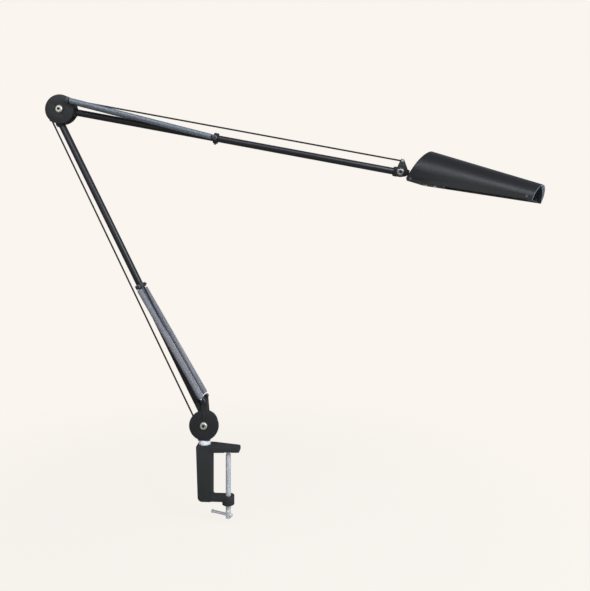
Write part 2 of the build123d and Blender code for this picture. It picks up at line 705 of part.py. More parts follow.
TONGUE_FACE = HEAD_TONGUE / 2
BRACKET_BACK = -TONGUE_FACE - PLATE_PLAY
BRACKET_FRONT = BRACKET_BACK - BRACKET_THICKNESS
KNUCKLE_FRONT = TONGUE_FACE + PLATE_PLAY
KNUCKLE_BACK = KNUCKLE_FRONT + KNUCKLE_THICKNESS


def at_head(shape):
    return Pos(HEAD_PIVOT[0], 0, HEAD_PIVOT[1]) * shape


def head_bracket():
    """The lever that the upper link keeps level."""
    x, z = UPPER_LINK_PIN
    outline = web([
        (0, 0, BRACKET_RADIUS),
        (x, z, BRACKET_TOP_RADIUS),
        (*BRACKET_SHOULDER, BRACKET_SHOULDER_RADIUS),
        (*BRACKET_HEEL, BRACKET_HEEL_RADIUS),
    ])
    plate = slab(outline, BRACKET_FRONT, BRACKET_BACK)
    plate -= pin((0, 0), BRACKET_FRONT - 1, BRACKET_BACK + 1, BOLT_DIAMETER / 2)
    plate -= pin(UPPER_LINK_PIN, BRACKET_FRONT - 1, BRACKET_BACK + 1, LINK_PIN_DIAMETER / 2)
    return at_head(plate)


def head_link_pin():
    """The headed pin that joins the upper link to the bracket."""
    shank = pin(UPPER_LINK_PIN, BRACKET_FRONT, LINK_EYE_THICKNESS / 2 + 1, LINK_PIN_DIAMETER / 2)
    head = pin(UPPER_LINK_PIN, BRACKET_FRONT - 1, BRACKET_FRONT, LINK_PIN_DIAMETER / 2 + 0.6)
    return at_head(shank + head)


def head_knuckle():
    """The piece that tilts on the head bolt and carries the swivel."""
    boss = pin((0, 0), KNUCKLE_FRONT, KNUCKLE_BACK, KNUCKLE_RADIUS)
    arm_half = STEM_DIAMETER / 2 + 0.4
    arm_end = STEM_START + STEM_BLOCK_LENGTH
    arm = block(0, arm_end, KNUCKLE_FRONT, KNUCKLE_BACK, -arm_half, arm_half)
    elbow = block(STEM_START, arm_end, -STEM_DIAMETER / 2, KNUCKLE_BACK, -arm_half, arm_half + STEM_BLOCK_CREST)
    stem = rod(arm_end, SWIVEL_FROM_PIVOT, STEM_DIAMETER / 2)
    half_eye = SWIVEL_EYE_HEIGHT / 2
    eye = upright(SWIVEL_FROM_PIVOT, -half_eye, half_eye, SWIVEL_EYE_RADIUS)
    stem &= block(0, SWIVEL_FROM_PIVOT, -STEM_DIAMETER, STEM_DIAMETER, -half_eye, half_eye)
    whole = boss + arm + elbow + stem + eye
    whole -= upright(SWIVEL_FROM_PIVOT, -STEM_DIAMETER, STEM_DIAMETER, SWIVEL_PIN_DIAMETER / 2 + RUNNING)
    whole -= pin((0, 0), KNUCKLE_FRONT - 1, KNUCKLE_BACK + 1, BOLT_DIAMETER / 2 + RUNNING)
    return in_arm(whole, HEAD_PIVOT, KNUCKLE_TILT)


# ---- shade, drawn in its own frame --------------------------------------------------------------

def in_shade(shape):
    place = Pos(SWIVEL[0], 0, SWIVEL[1]) * Rot(0, -KNUCKLE_TILT, 0) * Rot(0, 0, SHADE_YAW)
    return place * shape


def along_shade(back_value, front_value, x):
    share = (x - SHADE_BACK) / (SHADE_FRONT - SHADE_BACK)
    return back_value + (front_value - back_value) * share


def half_width(x):
    return along_shade(SHADE_BACK_HALF_WIDTH, SHADE_FRONT_HALF_WIDTH, x)


def trough_section(x, inset, bottom):
    """An arched section across the shade at x, drawn inside its outer face."""
    w = half_width(x) - inset
    crest = along_shade(SHADE_BACK_CREST, SHADE_FRONT_CREST, x)
    rise = along_shade(SHADE_BACK_ROUND, SHADE_FRONT_ROUND, x)
    spring_line = crest - rise
    edges = [
        Line((-w, bottom), (w, bottom)),
        Line((w, bottom), (w, spring_line)),
        EllipticalCenterArc((0, spring_line), w, rise - inset, 0, arc_size=180),
        Line((-w, spring_line), (-w, bottom)),
    ]
    plane = Plane(origin=(x, 0, 0), x_dir=(0, 1, 0), z_dir=(1, 0, 0))
    return plane * make_face(edges)


def trough(inset, bottom):
    """The solid inside the shade's outer face, less an inset all round."""
    overrun = 8
    ends = (SHADE_BACK - overrun, SHADE_FRONT + overrun)
    return loft([trough_section(x, inset, bottom) for x in ends], ruled=True)


def slant_foot(height, slant):
    return height / sin(radians(slant)) * cos(radians(slant))


def shade_side():
    """The shade seen from the side, with its slanted ends, as a block across its width."""
    top = SHADE_BACK_CREST + 10
    height = top - SHADE_BOTTOM
    outline = Polyline(
        (SHADE_BACK, SHADE_BOTTOM),
        (SHADE_FRONT, SHADE_BOTTOM),
        (SHADE_FRONT + slant_foot(height, SHADE_FRONT_SLANT), top),
        (SHADE_BACK + slant_foot(height, SHADE_BACK_SLANT), top),
        close=True,
    )
    body = slab(side_face(outline), -2 * SHADE_BACK_HALF_WIDTH, 2 * SHADE_BACK_HALF_WIDTH)
    corner = body.edges().filter_by(Axis.Y).filter_by(
        lambda e: abs(e.center().X - SHADE_BACK) < 0.01
    )
    return fillet(corner, SHADE_CORNER)


TRAY_BOTTOM = SHADE_BOTTOM + TRAY_LIFT
TRAY_TOP = TRAY_BOTTOM + TRAY_THICKNESS
TRAY_BACK = SHADE_BACK + TRAY_INSET
TRAY_FRONT = SHADE_FRONT - TRAY_INSET
RIVET_Z = SHADE_BOTTOM + RIVET_ABOVE_EDGE
RIVET_X = (SHADE_BACK + RIVET_FROM_BACK, SHADE_FRONT - RIVET_FROM_FRONT)


def rivet_holes():
    reach = SHADE_BACK_HALF_WIDTH + 5
    return [pin((x, RIVET_Z), -reach, reach, RIVET_DIAMETER / 2) for x in RIVET_X]


def shade_shell():
    shell = trough(0, SHADE_BOTTOM) - trough(SHADE_WALL, SHADE_BOTTOM - 1)
    shell &= shade_side()
    for hole in rivet_holes():
        shell -= hole
    return shell


def shade_tray():
    """The flanged frame round the light's opening."""
    wide = 2 * SHADE_BACK_HALF_WIDTH
    body = trough(SHADE_WALL, TRAY_BOTTOM)
    body &= block(TRAY_BACK, TRAY_FRONT, -wide, wide, TRAY_BOTTOM, TRAY_BOTTOM + TRAY_FLANGE)
    hollow = trough(SHADE_WALL + TRAY_THICKNESS, TRAY_TOP)
    body -= hollow
    opening = trough(SHADE_WALL + TRAY_LIP, TRAY_BOTTOM - 1)
    opening &= block(TRAY_BACK + TRAY_BACK_PLATE, TRAY_FRONT - TRAY_FRONT_PLATE, -wide, wide, TRAY_BOTTOM - 1, TRAY_TOP)
    body -= opening
    for hole in rivet_holes():
        body -= hole
    for x in foot_screw_places():
        body -= upright(x, TRAY_BOTTOM - 1, TRAY_TOP + 1, SMALL_SCREW_DIAMETER / 2)
    return body


def shade_rivets():
    """Four rivets through the shell and the tray's flange."""
    rivets = []
    for x in RIVET_X:
        outer = half_width(x)
        inner = -outer + SHADE_WALL + TRAY_THICKNESS + 0.4
        shank = pin((x, RIVET_Z), -outer - RIVET_HEAD_HEIGHT, inner, RIVET_DIAMETER / 2)
        head = pin((x, RIVET_Z), -outer - RIVET_HEAD_HEIGHT, -outer - 0.1, RIVET_HEAD_RADIUS)
        rivet = shank + head
        rivets += [rivet, mirror(rivet, about=Plane.XZ)]
    return Compound(rivets)


# the swivel bracket's foot, the lamp holder and the lamp follow each other along the shade
WEB_X = SWIVEL_WEB_FROM_PIN
FOOT_X = WEB_X + SWIVEL_LEG
HOLDER_X = FOOT_X + SWIVEL_FOOT_LENGTH
CAP_X = HOLDER_X + HOLDER_LENGTH
TUBES_X = CAP_X + CAP_LENGTH
LAMP_Z = TRAY_TOP + LAMP_AXIS_ABOVE_TRAY
LEG_Z = SWIVEL_EYE_HEIGHT / 2 + 0.2


def foot_screw_places():
    return [FOOT_X + SWIVEL_FOOT_LENGTH / 2, HOLDER_X + HOLDER_LENGTH / 2]


def swivel_bracket():
    """Two legs round the stem's eye, on an upright web with a foot on the tray."""
    half = SWIVEL_LEG_HALF_WIDTH
    body = block(WEB_X, FOOT_X, -half, half, TRAY_TOP, LEG_Z + SWIVEL_LEG)
    body += block(WEB_X, HOLDER_X, -half, half, TRAY_TOP, TRAY_TOP + SWIVEL_LEG)
    for z0 in (-LEG_Z - SWIVEL_LEG, LEG_Z):
        leg = block(0, WEB_X, -half, half, z0, z0 + SWIVEL_LEG)
        body += leg + upright(0, z0, z0 + SWIVEL_LEG, half)
    body -= upright(0, -LEG_Z - SWIVEL_LEG - 1, LEG_Z + SWIVEL_LEG + 1, SWIVEL_PIN_DIAMETER / 2)
    screw = foot_screw_places()[0]
    return body - upright(screw, TRAY_TOP - 1, TRAY_TOP + SWIVEL_LEG + 1, SMALL_SCREW_DIAMETER / 2)


def swivel_pin():
    shank = upright(0, -LEG_Z - SWIVEL_LEG, LEG_Z + SWIVEL_LEG, SWIVEL_PIN_DIAMETER / 2)
    top = LEG_Z + SWIVEL_LEG
    return shank + upright(0, top, top + 1.6, SWIVEL_PIN_DIAMETER / 2 + 1.4)


def lamp_holder():
    """The plastic block that the lamp plugs into."""
    wide = HOLDER_HALF_WIDTH
    body = block(HOLDER_X, CAP_X, -wide, wide, TRAY_TOP, TRAY_TOP + HOLDER_HEIGHT)
    body = fillet(body.edges().filter_by(Axis.X), 1.5)
    plug = LAMP_TUBE_DIAMETER / 2
    body -= block(CAP_X - CAP_PLUG - 0.3, CAP_X + 1, -plug, plug, LAMP_Z - CAP_HEIGHT / 4, LAMP_Z + CAP_HEIGHT / 4)
    screw = foot_screw_places()[1]
    return body - upright(screw, TRAY_TOP - 1, TRAY_TOP + 5, SMALL_SCREW_DIAMETER / 2)


def foot_screws():
    """The screws up through the tray into the swivel bracket and the lamp holder."""
    screws = []
    for x in foot_screw_places():
        shank = upright(x, TRAY_BOTTOM - 0.02, TRAY_TOP + SWIVEL_LEG, SMALL_SCREW_DIAMETER / 2)
        head = upright(x, TRAY_BOTTOM - 1.6, TRAY_BOTTOM, SCREW_HEAD_RADIUS)
        screws.append(shank + head)
    return Compound(screws)


def lamp_cap():
    """The lamp's plastic base, with the plug that enters the holder."""
    wide = CAP_HALF_WIDTH
    half = CAP_HEIGHT / 2
    body = block(CAP_X, TUBES_X, -wide, wide, LAMP_Z - half, LAMP_Z + half)
    body = fillet(body.edges().filter_by(Axis.X), 3)
    play = 0.1
    plug = LAMP_TUBE_DIAMETER / 2 - play
    body += block(CAP_X - CAP_PLUG, CAP_X, -plug, plug, LAMP_Z - half / 2 + play, LAMP_Z + half / 2 - play)
    return body


def lamp_tubes():
    """Two parallel glass tubes, joined by a short bridge near their far ends."""
    radius = LAMP_TUBE_DIAMETER / 2
    end = TUBES_X + LAMP_TUBE_LENGTH
    glass = Part()
    for side in (-1, 1):
        tube = fillet(rod(TUBES_X, end, radius).edges().sort_by(Axis.X)[-1], radius * 0.6)
        glass += Pos(0, side * LAMP_TUBE_SPACING / 2, LAMP_Z) * tube
    bridge = pin((end - LAMP_BRIDGE_FROM_END, LAMP_Z), -LAMP_TUBE_SPACING / 2, LAMP_TUBE_SPACING / 2,
                 LAMP_BRIDGE_DIAMETER / 2)
    return glass + bridge


# ---- the lamp -----------------------------------------------------------------------------------

def lower(shape):
    return in_arm(shape, BASE_PIVOT, LOWER_ARM_ANGLE)


def upper(shape):
    return in_arm(shape, ELBOW, UPPER_ARM_ANGLE)


def on_lower_collar(shape):
    x = LOWER_COLLAR_FROM_PIVOT
    return lower(on_lower_tube(Pos(x, 0, 0) * shape))


def on_upper_collar(shape):
    return upper(Pos(UPPER_COLLAR_FROM_PIVOT, 0, 0) * shape)


def lower_collar_point():
    local = turned((LOWER_COLLAR_FROM_PIVOT, 0), FOOT_SLANT)
    return added(BASE_PIVOT, turned(added((0, -FOOT_OFFSET), local), LOWER_ARM_ANGLE))


def upper_collar_point():
    return added(ELBOW, turned((UPPER_COLLAR_FROM_PIVOT, 0), UPPER_ARM_ANGLE))


def build_nodes():
    base_link = added(BASE_PIVOT, LOWER_LINK_PIN)
    upper_link = added(ELBOW, UPPER_LINK_PIN)
    stud = added(ELBOW, ELBOW_STUD)
    link_reach = PLATE_IN + PIN_SEAT
    lower_link_pin, upper_link_pin = elbow_pins()[1:]
    nodes = {
        "clamp_frame": clamp_frame(),
        "post_bushing": post_bushing(),
        "clamp_tip": clamp_tip(),
        "clamp_screw": clamp_screw(),
        "tommy_bar": tommy_bar(),
        "base_bracket": base_bracket(),
        "base_pivot_bolt": pivot_bolt(BASE_PIVOT, -PLATE_OUT, PLATE_OUT),
        "base_pivot_nut": pivot_nut(BASE_PIVOT, PLATE_OUT),
        "base_spring_studs": mirrored_pair(spring_stud(BASE_STUD, PLATE_IN)),
        "base_link_pin": pin(base_link, -link_reach, link_reach, LINK_PIN_DIAMETER / 2),
        "lower_arm_tube": lower(lower_arm_tube()),
        "lower_arm_foot": lower(lower_arm_foot()),
        "lower_arm_head": lower(lower_arm_head()),
        "lower_spring_collar": on_lower_collar(spring_collar()),
        "lower_collar_screw": on_lower_collar(collar_screw()),
        "lower_collar_studs": on_lower_collar(collar_studs()),
        "lower_link_rod": in_arm(link_rod(LOWER_ARM_LENGTH), base_link, LOWER_ARM_ANGLE),
        "elbow_front_disc": elbow_disc(-1),
        "elbow_rear_disc": elbow_disc(1),
        "elbow_bolt": pivot_bolt(ELBOW, -PLATE_OUT, PLATE_OUT),
        "elbow_nut": pivot_nut(ELBOW, PLATE_OUT),
        "elbow_arm_pin": elbow_pins()[0],
        "elbow_link_pins": Compound([lower_link_pin, upper_link_pin]),
        "elbow_spring_studs": mirrored_pair(spring_stud(stud, PLATE_IN)),
        "upper_arm_tube": upper(upper_arm_tube()),
        "upper_arm_foot": upper(upper_arm_foot()),
        "upper_arm_head": upper(upper_arm_head()),
        "upper_spring_collar": on_upper_collar(spring_collar()),
        "upper_collar_screw": on_upper_collar(collar_screw()),
        "upper_collar_studs": on_upper_collar(collar_studs()),
        "upper_link_rod": in_arm(link_rod(UPPER_ARM_LENGTH), upper_link, UPPER_ARM_ANGLE),
        "head_bracket": head_bracket(),
        "head_link_pin": head_link_pin(),
        "head_bolt": pivot_bolt(HEAD_PIVOT, BRACKET_FRONT, KNUCKLE_BACK),
        "head_nut": pivot_nut(HEAD_PIVOT, KNUCKLE_BACK),
        "head_knuckle": head_knuckle(),
        "shade_shell": in_shade(shade_shell()),
        "shade_tray": in_shade(shade_tray()),
        "shade_rivets": in_shade(shade_rivets()),
        "swivel_bracket": in_shade(swivel_bracket()),
        "swivel_pin": in_shade(swivel_pin()),
        "foot_screws": in_shade(foot_screws()),
        "lamp_holder": in_shade(lamp_holder()),
        "lamp_cap": in_shade(lamp_cap()),
        "lamp_tubes": in_shade(lamp_tubes()),
    }
    for name, side in (("front", -1), ("rear", 1)):
        nodes[f"lower_spring_{name}"] = spring(BASE_STUD, lower_collar_point(), side)
        nodes[f"upper_spring_{name}"] = spring(stud, upper_collar_point(), side)
    return nodes


os.makedirs("parts", exist_ok=True)
for node_name, shape in build_nodes().items():
    export_step(shape, f"parts/{node_name}.step")
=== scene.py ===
"""Looks for a clamp-mounted balanced desk lamp: black enamel, bright screws and close-wound springs."""
import json
from math import asin, atan2, cos, hypot, pi, radians, sin, sqrt

import bmesh
import bpy
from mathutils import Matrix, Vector


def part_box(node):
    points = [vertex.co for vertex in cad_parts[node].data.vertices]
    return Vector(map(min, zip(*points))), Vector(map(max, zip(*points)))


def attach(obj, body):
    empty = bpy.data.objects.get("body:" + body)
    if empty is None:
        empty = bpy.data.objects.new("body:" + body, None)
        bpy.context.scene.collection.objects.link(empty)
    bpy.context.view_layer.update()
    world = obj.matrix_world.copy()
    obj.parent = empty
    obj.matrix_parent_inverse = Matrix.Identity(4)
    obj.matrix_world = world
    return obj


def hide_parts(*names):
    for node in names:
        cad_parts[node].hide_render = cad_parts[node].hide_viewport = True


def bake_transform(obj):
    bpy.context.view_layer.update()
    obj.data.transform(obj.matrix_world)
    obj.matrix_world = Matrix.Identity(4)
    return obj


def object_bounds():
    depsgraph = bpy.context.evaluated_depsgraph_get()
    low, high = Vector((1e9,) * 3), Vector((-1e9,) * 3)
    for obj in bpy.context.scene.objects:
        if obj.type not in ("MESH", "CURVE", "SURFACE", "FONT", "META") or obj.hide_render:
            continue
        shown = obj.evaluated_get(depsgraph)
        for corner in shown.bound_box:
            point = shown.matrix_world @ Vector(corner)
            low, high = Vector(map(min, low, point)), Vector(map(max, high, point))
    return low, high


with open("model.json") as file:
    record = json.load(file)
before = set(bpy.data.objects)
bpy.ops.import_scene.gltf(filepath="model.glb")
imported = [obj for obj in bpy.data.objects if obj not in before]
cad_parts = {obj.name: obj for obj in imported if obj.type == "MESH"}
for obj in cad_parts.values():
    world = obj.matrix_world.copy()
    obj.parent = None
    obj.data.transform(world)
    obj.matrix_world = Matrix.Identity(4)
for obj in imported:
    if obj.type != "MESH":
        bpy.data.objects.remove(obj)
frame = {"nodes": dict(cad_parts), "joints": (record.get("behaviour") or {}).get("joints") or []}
cad_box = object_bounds()

MM = 0.001
JOINTS = {joint["name"]: joint for joint in frame["joints"]}


def joint_point(name):
    return Vector(JOINTS[name]["pos_m"])


def middle(node):
    low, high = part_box(node)
    return (low + high) / 2


SWIVEL = joint_point("head_swivel")
SWIVEL_AXIS = Vector(JOINTS["head_swivel"]["axis"]).normalized()

# ---- camera -------------------------------------------------------------------------------------

CAMERA_PLACE = Vector((172.6, -964.9, 360.3)) * MM
CAMERA_YAW = radians(3.7)
FOCAL_PIXELS = 664
PICTURE_WIDTH = 590
PICTURE_MIDDLE_Y = 295.5
HORIZON_Y = 205
SENSOR = 36
NEAREST_SEEN = 0.01


def make_camera():
    data = bpy.data.cameras.new("camera")
    data.sensor_width = SENSOR
    data.lens = SENSOR * FOCAL_PIXELS / PICTURE_WIDTH
    data.shift_y = -(PICTURE_MIDDLE_Y - HORIZON_Y) / PICTURE_WIDTH
    data.clip_start = NEAREST_SEEN
    camera = bpy.data.objects.new("camera", data)
    camera.location = CAMERA_PLACE
    camera.rotation_euler = (pi / 2, 0, CAMERA_YAW)
    bpy.context.scene.collection.objects.link(camera)
    bpy.context.scene.camera = camera


# ---- materials ----------------------------------------------------------------------------------

def add_node(tree, kind, place, **values):
    node = tree.nodes.new(kind)
    node.location = place
    for name, value in values.items():
        setattr(node, name, value)
    return node


def grain_group():
    """Fine surface grain: a height for bump and a slow mask for colour and roughness."""
    tree = bpy.data.node_groups.new("surface grain", "ShaderNodeTree")
    for name, default in (("Grain size", 1500.0), ("Cloud size", 18.0)):
        socket = tree.interface.new_socket(name=name, in_out="INPUT", socket_type="NodeSocketFloat")
        socket.default_value = default
    for name in ("Height", "Cloud"):
        tree.interface.new_socket(name=name, in_out="OUTPUT", socket_type="NodeSocketFloat")
    entry = add_node(tree, "NodeGroupInput", (-700, 0))
    leave = add_node(tree, "NodeGroupOutput", (300, 0))
    place = add_node(tree, "ShaderNodeTexCoord", (-700, -200))
    fine = add_node(tree, "ShaderNodeTexNoise", (-400, 100))
    fine.inputs["Detail"].default_value = 2.0
    slow = add_node(tree, "ShaderNodeTexNoise", (-400, -200))
    slow.inputs["Detail"].default_value = 3.0
    link = tree.links.new
    link(place.outputs["Object"], fine.inputs["Vector"])
    link(place.outputs["Object"], slow.inputs["Vector"])
    link(entry.outputs["Grain size"], fine.inputs["Scale"])
    link(entry.outputs["Cloud size"], slow.inputs["Scale"])
    link(fine.outputs["Fac"], leave.inputs["Height"])
    link(slow.outputs["Fac"], leave.inputs["Cloud"])
    return tree


GRAIN = grain_group()


def finish(name, colour, roughness, metallic=0.0, bump=0.1, grain=1500.0, cloud=18.0,
           colour_spread=0.15, rough_spread=0.1, coat=0.0, coat_roughness=0.1, specular=0.5):
    """A material whose colour and roughness drift a little over a fine grain."""
    material = bpy.data.materials.new(name)
    material.use_nodes = True
    tree = material.node_tree
    shader = tree.nodes["Principled BSDF"]
    shader.inputs["Metallic"].default_value = metallic
    shader.inputs["Coat Weight"].default_value = coat
    shader.inputs["Coat Roughness"].default_value = coat_roughness
    shader.inputs["Specular IOR Level"].default_value = specular
    group = add_node(tree, "ShaderNodeGroup", (-900, 0), node_tree=GRAIN)
    group.inputs["Grain size"].default_value = grain
    group.inputs["Cloud size"].default_value = cloud
    tint = add_node(tree, "ShaderNodeMix", (-500, 200), data_type="RGBA")
    darker = [c * (1 - colour_spread) for c in colour]
    lighter = [min(1, c * (1 + colour_spread)) for c in colour]
    tint.inputs["A"].default_value = (*darker, 1)
    tint.inputs["B"].default_value = (*lighter, 1)
    rough = add_node(tree, "ShaderNodeMapRange", (-500, -50))
    rough.inputs["To Min"].default_value = max(0.02, roughness - rough_spread)
    rough.inputs["To Max"].default_value = min(1.0, roughness + rough_spread)
    rise = add_node(tree, "ShaderNodeBump", (-500, -350))
    rise.inputs["Strength"].default_value = bump
    rise.inputs["Distance"].default_value = 0.1 * MM
    link = tree.links.new
    link(group.outputs["Cloud"], tint.inputs["Factor"])
    link(group.outputs["Cloud"], rough.inputs["Value"])
    link(group.outputs["Height"], rise.inputs["Height"])
    link(tint.outputs["Result"], shader.inputs["Base Color"])
    link(rough.outputs["Result"], shader.inputs["Roughness"])
    link(rise.outputs["Normal"], shader.inputs["Normal"])
    return material


CASTING = finish("black casting enamel", (0.027, 0.027, 0.028), 0.56, bump=0.5, grain=900,
                 rough_spread=0.06, specular=0.4)
PLATE = finish("black plate enamel", (0.02, 0.02, 0.0205), 0.5, bump=0.35, grain=1300,
               rough_spread=0.05, specular=0.4)
TUBE = finish("black tube enamel", (0.014, 0.014, 0.017), 0.36, bump=0.12, grain=1600,
              rough_spread=0.03, specular=0.45)
SHADE = finish("shade enamel", (0.012, 0.0122, 0.014), 0.4, bump=0.5, grain=1500,
               rough_spread=0.04, specular=0.5)
SHADE_INSIDE = finish("shade inside enamel", (0.02, 0.023, 0.024), 0.6, bump=0.3, grain=1500)
# painted highlight: a pale blue-grey that stands for light caught on the far wall's inside and on the
# cut edges at the shade's open end
SHADE_PAINTED_HIGHLIGHT = finish("shade painted highlight", (0.27, 0.32, 0.38), 0.42, bump=0.3, grain=1500)
TRAY = finish("tray enamel", (0.02, 0.021, 0.022), 0.5, bump=0.4, grain=1500)
SPRING = finish("spring steel", (0.26, 0.29, 0.325), 0.5, metallic=0.6, bump=0.05,
                grain=2500, cloud=60)
LOWER_SPRING = finish("lower spring steel", (0.29, 0.29, 0.32), 0.68, metallic=0.2, bump=0.05,
                      grain=2500, cloud=60)
BRIGHT = finish("bright nickel", (0.74, 0.71, 0.64), 0.3, metallic=0.75, bump=0.04, grain=1800, cloud=70)
DULL = finish("dull nickel", (0.46, 0.45, 0.42), 0.36, metallic=1.0, bump=0.04, grain=1800, cloud=70)
# painted shade: a dark colour for the bolt heads' socket recesses, where shade falls
PAINTED_SOCKET_SHADE = finish("painted socket shade", (0.05, 0.045, 0.035), 0.5, metallic=0.6, bump=0.05, grain=1800)
WASHER = finish("dark washer steel", (0.12, 0.12, 0.125), 0.4, metallic=1.0, bump=0.06,
                grain=1800, cloud=70)
CHROME = finish("bright zinc plating", (0.88, 0.89, 0.92), 0.3, metallic=0.6, bump=0.05,
                grain=1400, cloud=50)
ROD = finish("blackened rod steel", (0.022, 0.022, 0.024), 0.45, metallic=0.3, bump=0.08,
             grain=2200, cloud=40, specular=0.35)
DARK_STEEL = finish("dark pin steel", (0.1, 0.105, 0.115), 0.4, metallic=1.0, bump=0.1,
                    grain=2000)
RIVET = finish("enamelled rivet", (0.07, 0.07, 0.078), 0.45, bump=0.2, grain=2000)
PALE_PLASTIC = finish("pale bushing plastic", (0.84, 0.85, 0.89), 0.45, bump=0.1, grain=1200,
                      colour_spread=0.03)
WHITE_PLASTIC = finish("white holder plastic", (0.8, 0.8, 0.77), 0.32, bump=0.08, grain=1000,
                       colour_spread=0.03)
LAMP_GLASS = finish("opal lamp glass", (0.86, 0.87, 0.86), 0.12, bump=0.0, grain=900, colour_spread=0.02,
                    rough_spread=0.03, coat=0.6, coat_roughness=0.04)


# ---- pieces -------------------------------------------------------------------------------------

def new_object(name, mesh):
    piece = bpy.data.objects.new(name, mesh)
    bpy.context.scene.collection.objects.link(piece)
    return piece


def settle(piece, material, body, nodes=(), smooth_angle=35):
    """Gives a piece its finish, its body and the CAD nodes that it stands for."""
    piece.data.materials.clear()
    piece.data.materials.append(material)
    smooth_by_angle(piece.data, smooth_angle)
    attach(piece, body)
    if nodes:
        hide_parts(*nodes)
    return piece


def smooth_by_angle(mesh, angle):
    limit = radians(angle)
    bm = bmesh.new()
    bm.from_mesh(mesh)
    for face in bm.faces:
        face.smooth = True
    for edge in bm.edges:
        edge.smooth = len(edge.link_faces) != 2 or edge.calc_face_angle(0) < limit
    bm.to_mesh(mesh)
    bm.free()


def apply_modifiers(piece):
    bpy.context.view_layer.update()
    graph = bpy.context.evaluated_depsgraph_get()
    mesh = bpy.data.meshes.new_from_object(piece.evaluated_get(graph))
    piece.modifiers.clear()
    piece.data = mesh
    return piece


def rounded(piece, width, segments=2, angle=32):
    bevel = piece.modifiers.new("rounding", "BEVEL")
    bevel.width = width
    bevel.segments = segments
    bevel.limit_method = "ANGLE"
    bevel.angle_limit = radians(angle)
    bevel.harden_normals = False
    return apply_modifiers(piece)


def from_node(node, name, edge=0.35, angle=32):
    """A piece on a CAD node's own form, welded and with its sharp edges rounded."""
    mesh = frame["nodes"][node].data.copy()
    piece = new_object(name, mesh)
    bm = bmesh.new()
    bm.from_mesh(mesh)
    bmesh.ops.remove_doubles(bm, verts=bm.verts, dist=0.002 * MM)
    bmesh.ops.dissolve_limit(bm, angle_limit=radians(0.5), verts=bm.verts, edges=bm.edges)
    bm.to_mesh(mesh)
    bm.free()
    if edge:
        rounded(piece, edge * MM, angle=angle)
    return piece


def wire_rings(points, radius, sides=8):
    """Rings round a wire's route, with frames carried along so that the wire doesn't twist."""
    side = None
    rings = []
    for i, point in enumerate(points):
        way = (points[min(i + 1, len(points) - 1)] - points[max(i - 1, 0)]).normalized()
        side = way.orthogonal() if side is None else side
        side = (side - way * side.dot(way)).normalized()
        up = way.cross(side)
        turns = [2 * pi * k / sides for k in range(sides)]
        rings.append([point + (side * cos(a) + up * sin(a)) * radius for a in turns])
    return rings


def wire_piece(name, rings):
    """A closed length of wire over its rings."""
    bm = bmesh.new()
    loops = [[bm.verts.new(corner) for corner in ring] for ring in rings]
    sides = len(rings[0])
    for first, second in zip(loops, loops[1:]):
        for k in range(sides):
            n = (k + 1) % sides
            bm.faces.new((first[k], first[n], second[n], second[k]))
    bm.faces.new(list(reversed(loops[0])))
    bm.faces.new(loops[-1])
    mesh = bpy.data.meshes.new(name)
    bm.to_mesh(mesh)
    bm.free()
    return new_object(name, mesh)


# ---- springs ------------------------------------------------------------------------------------

COIL = 8.4 * MM
UPPER_WIRE = 1.75 * MM
LOWER_WIRE = 1.3 * MM
WINDING_GAP = 0.08 * MM
STEPS_PER_TURN = 14
HOOK_RADIUS = 2.6 * MM
HOOK_RUN = 4.6 * MM
HOOK_SWEEP = 290
HOOK_STEPS = 18
END_TURN_SHARE = 0.8        # the end turns start at this share of the coil
END_TURN_RISE = 0.2         # and gain this share over one turn
HOOK_REACH = 3.0 * MM
SPRING_KNOTS = (12 * MM, 30 * MM, 80 * MM)


def spring_points(length, wire, hand):
    """Along +X from stud to stud: a hook, the close turns, and a hook."""
    coil = (COIL - wire) / 2
    turns = round((length - 2 * HOOK_RUN) / (wire + WINDING_GAP))
    points = []
    for k in range(HOOK_STEPS + 1):
        a = radians(90 + HOOK_SWEEP * (1 - k / HOOK_STEPS))
        points.append(Vector((HOOK_RADIUS * cos(a), 0, HOOK_RADIUS * sin(a))))
    steps = turns * STEPS_PER_TURN
    for k in range(steps + 1):
        a = 2 * pi * k / STEPS_PER_TURN
        x = HOOK_RUN + (length - 2 * HOOK_RUN) * k / steps
        near_end = min(k, steps - k) / STEPS_PER_TURN
        radius = coil * min(1, END_TURN_SHARE + END_TURN_RISE * near_end)
        points.append(Vector((x, hand * radius * sin(a), radius * cos(a))))
    for k in range(HOOK_STEPS + 1):
        a = radians(90 - HOOK_SWEEP * k / HOOK_STEPS)
        points.append(Vector((length + HOOK_RADIUS * cos(a), 0, HOOK_RADIUS * sin(a))))
    return points


def turned(point, pivot, angle):
    """A point turned about a joint's -Y axis, in the arms' plane."""
    x, z = point.x - pivot.x, point.z - pivot.z
    across = x * cos(angle) - z * sin(angle)
    rise = x * sin(angle) + z * cos(angle)
    return Vector((pivot.x + across, point.y, pivot.z + rise))


def flat_angle(first, second, pivot):
    """The turn about the pivot from one point to another, in the arms' plane."""
    a = atan2(first.z - pivot.z, first.x - pivot.x)
    b = atan2(second.z - pivot.z, second.x - pivot.x)
    return (b - a + pi) % (2 * pi) - pi


def straight_share(start, end, pivot, reach, angles):
    """The share of the arm's turn that a point on the spring takes, to keep it nearly straight."""
    along = (end - start).normalized()
    point = start + along * reach
    radius = hypot(point.x - pivot.x, point.z - pivot.z)
    turn = 0
    for angle in angles:
        far = turned(end, pivot, angle)
        way = (far - start).normalized()
        offset = start - Vector((pivot.x, start.y, pivot.z))
        run = -offset.dot(way) + sqrt(max(0, offset.dot(way) ** 2 - offset.length_squared + radius ** 2))
        turn += abs(flat_angle(point, start + way * run, pivot))
    return turn / sum(abs(angle) for angle in angles)


